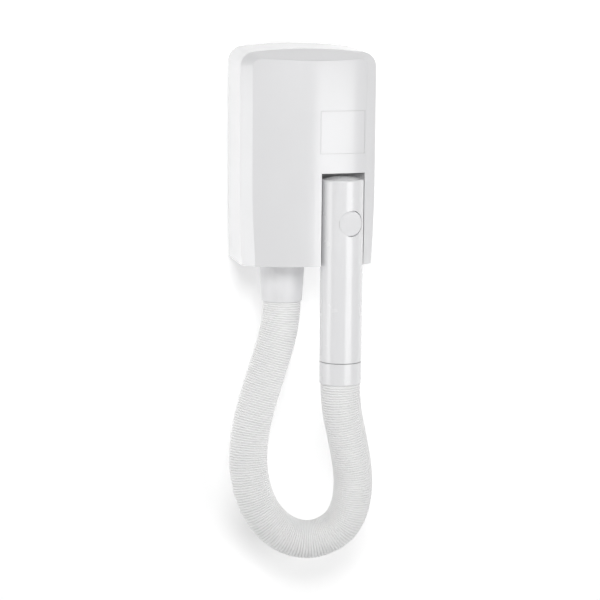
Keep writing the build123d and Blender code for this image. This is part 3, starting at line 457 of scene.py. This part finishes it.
def paint_groove_shade(material):
    """Paints shade into the hose's plastic: a little darker down between the ribs, most in the
    valleys.
    """
    tree = material.node_tree
    shader = tree.nodes["Principled BSDF"]
    body = shader.inputs["Base Color"].links[0].from_socket
    groove_shade_mask = tree.nodes.new("ShaderNodeAttribute")
    groove_shade_mask.attribute_name = "groove_shade_mask"
    shade = tree.nodes.new("ShaderNodeMix")
    shade.data_type = "RGBA"
    shade.inputs["B"].default_value = (*GROOVE_SHADE_COLOUR, 1)
    tree.links.new(body, shade.inputs["A"])
    share = spread(tree, groove_shade_mask.outputs["Fac"], 0.0, GROOVE_SHADE_SHARE)
    tree.links.new(share, shade.inputs["Factor"])
    tree.links.new(shade.outputs["Result"], shader.inputs["Base Color"])


def metal(name, colour, roughness):
    """Metal with fine streaks in its colour, gloss and surface."""
    material, tree, shader = new_material(name)
    streaks = noise(tree, 700.0, detail=4.0)
    darker = tuple(c * 0.85 for c in colour)
    tree.links.new(mix_colours(tree, streaks, darker, colour), shader.inputs["Base Color"])
    rough = spread(tree, streaks, roughness * 0.8, roughness * 1.3)
    tree.links.new(rough, shader.inputs["Roughness"])
    bump(tree, shader, [(streaks, 0.00005, METAL_BRUSHING)])
    shader.inputs["Metallic"].default_value = 1.0
    return material


def make_materials():
    made = {name: plastic(name, *values) for name, values in PLASTICS.items()}
    made.update({name: metal(name, *values) for name, values in METALS.items()})
    # The hose's plastic gets painted shade between its ribs.
    paint_groove_shade(made["hose_white"])
    glass, _, shader = new_material("fuse_glass")
    shader.inputs["Base Color"].default_value = (0.85, 0.88, 0.9, 1)
    shader.inputs["Transmission Weight"].default_value = 0.9
    shader.inputs["Roughness"].default_value = 0.05
    made["fuse_glass"] = glass
    return made


def dress_cad_nodes(materials):
    for part in frame["record"]["subparts"]:
        data = nodes[part["node"]].data
        data.materials.clear()
        data.materials.append(materials[part["material_slot"]])


# ---------------------------------------------------------------- stage and light
FLOOR_Z = -1.3
WALL_TOP = 3.0
WALL_Y = 0.0006
STAGE_REACH = 4.0
WALL_GLOW = 0.3
WORLD_LEVEL = 0.32
WORLD_OVERHEAD = 0.04
WORLD_FADE = 0.8
AIM = (0, -0.06, -0.15)
# Each light: place, width and height, power in watts.
LIGHTS = {
    "right_box": ((0.62, -1.1, -0.24), (0.75, 0.6), 4.6),
    "left_strip": ((-0.97, -0.26, -0.20), (0.42, 0.55), 1.95),
    "top_box": ((-0.2, -1.45, 0.56), (0.7, 0.5), 10.8),
}


def stage_plane(name, corners, material):
    mesh = bpy.data.meshes.new(name)
    mesh.from_pydata(corners, [], [(0, 1, 2, 3)])
    plane = add_object(name, mesh)
    mesh.materials.append(material)


def wall_material():
    """Matt white paint that lets the camera look in from behind the wall."""
    material, tree, shader = new_material("wall_paint")
    shader.inputs["Base Color"].default_value = (0.93, 0.93, 0.93, 1)
    shader.inputs["Roughness"].default_value = 0.9
    shader.inputs["Specular IOR Level"].default_value = 0.1
    shader.inputs["Emission Color"].default_value = (1, 1, 1, 1)
    shader.inputs["Emission Strength"].default_value = WALL_GLOW
    geometry = tree.nodes.new("ShaderNodeNewGeometry")
    clear = tree.nodes.new("ShaderNodeBsdfTransparent")
    mix = tree.nodes.new("ShaderNodeMixShader")
    output = tree.nodes["Material Output"]
    tree.links.new(geometry.outputs["Backfacing"], mix.inputs[0])
    tree.links.new(shader.outputs[0], mix.inputs[1])
    tree.links.new(clear.outputs[0], mix.inputs[2])
    tree.links.new(mix.outputs[0], output.inputs["Surface"])
    return material


def make_stage():
    reach = STAGE_REACH
    stage_plane(
        "wall",
        [
            (-reach, WALL_Y, FLOOR_Z),
            (reach, WALL_Y, FLOOR_Z),
            (reach, WALL_Y, WALL_TOP),
            (-reach, WALL_Y, WALL_TOP),
        ],
        wall_material(),
    )
    floor, _, shader = new_material("floor_paint")
    shader.inputs["Base Color"].default_value = (0.86, 0.86, 0.86, 1)
    shader.inputs["Roughness"].default_value = 0.8
    stage_plane(
        "floor",
        [
            (-reach, -reach, FLOOR_Z),
            (reach, -reach, FLOOR_Z),
            (reach, reach, FLOOR_Z),
            (-reach, reach, FLOOR_Z),
        ],
        floor,
    )


def area_light(name, at, size, power):
    data = bpy.data.lights.new(name, "AREA")
    data.shape = "RECTANGLE"
    data.size, data.size_y = size
    data.energy = power
    light = bpy.data.objects.new(name, data)
    bpy.context.scene.collection.objects.link(light)
    light.location = at
    light.rotation_mode = "QUATERNION"
    light.rotation_quaternion = (Vector(AIM) - Vector(at)).to_track_quat("-Z", "Y")


def make_light():
    """Soft light from all round, and three boxes. The world fades upward, which keeps the
    housing's top darker than the wall."""
    world = bpy.data.worlds.new("studio")
    world.use_nodes = True
    tree = world.node_tree
    background = tree.nodes["Background"]
    coords = tree.nodes.new("ShaderNodeTexCoord")
    parts = tree.nodes.new("ShaderNodeSeparateXYZ")
    height = tree.nodes.new("ShaderNodeMapRange")
    height.inputs["From Max"].default_value = WORLD_FADE
    height.inputs["To Min"].default_value = WORLD_LEVEL
    height.inputs["To Max"].default_value = WORLD_OVERHEAD
    tree.links.new(coords.outputs["Generated"], parts.inputs[0])
    tree.links.new(parts.outputs["Z"], height.inputs["Value"])
    tree.links.new(height.outputs["Result"], background.inputs["Strength"])
    background.inputs["Color"].default_value = (1, 1, 1, 1)
    bpy.context.scene.world = world
    bpy.context.scene.view_settings.view_transform = "Standard"
    for name, values in LIGHTS.items():
        area_light(name, *values)


# ---------------------------------------------------------------- build
make_camera()
hose = make_hose()
materials = make_materials()
hose.data.materials.append(materials["hose_white"])
make_springs(materials["zinc_steel"])
make_grille(materials["handset_white"])
dress_cad_nodes(materials)
make_stage()
make_light()
